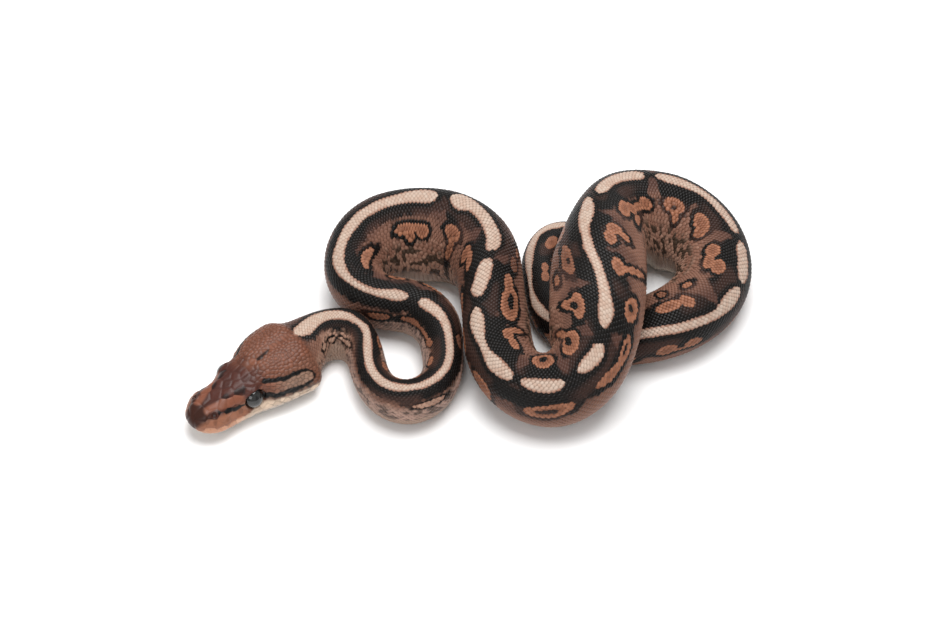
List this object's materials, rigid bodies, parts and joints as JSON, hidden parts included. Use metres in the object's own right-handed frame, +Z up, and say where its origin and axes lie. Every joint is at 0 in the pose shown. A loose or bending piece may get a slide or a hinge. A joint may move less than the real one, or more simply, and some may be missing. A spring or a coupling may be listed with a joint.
{
  "type": "coiled ball python",
  "caption": "Life-size still model of a young ball python resting in loops, its head low at one side and its hind body tucked under a raised coil.",
  "frame": {"origin": "on the floor, under the middle of the model's box", "axes": "+X from the head's end to the coil's end, +Y to the back of the loops, +Z up"},
  "size_m": [0.1214, 0.064, 0.0256],
  "materials": {
    "head_skin": "maroon-brown scaled skin with a soft sheen",
    "neck_skin": "dark scaled skin with a pale stripe",
    "trunk_skin": "near-black scaled skin with tan blotches and a pale broken stripe",
    "tail_skin": "dark scaled skin with a pale stripe",
    "eye": "wet gloss"
  },
  "bodies": {
    "root": {"head": "head_skin", "eye_left": "eye", "eye_right": "eye", "neck": "neck_skin", "front_loop_near": "trunk_skin", "front_loop_far": "trunk_skin", "back_loop_left": "trunk_skin", "back_loop_top": "trunk_skin", "middle_bend_left": "trunk_skin", "middle_bend_front": "trunk_skin", "raised_arm": "trunk_skin", "coil_back": "trunk_skin", "coil_right": "trunk_skin", "coil_front": "trunk_skin", "hind_loop": "trunk_skin", "tail": "tail_skin"}
  },
  "joints": []
}
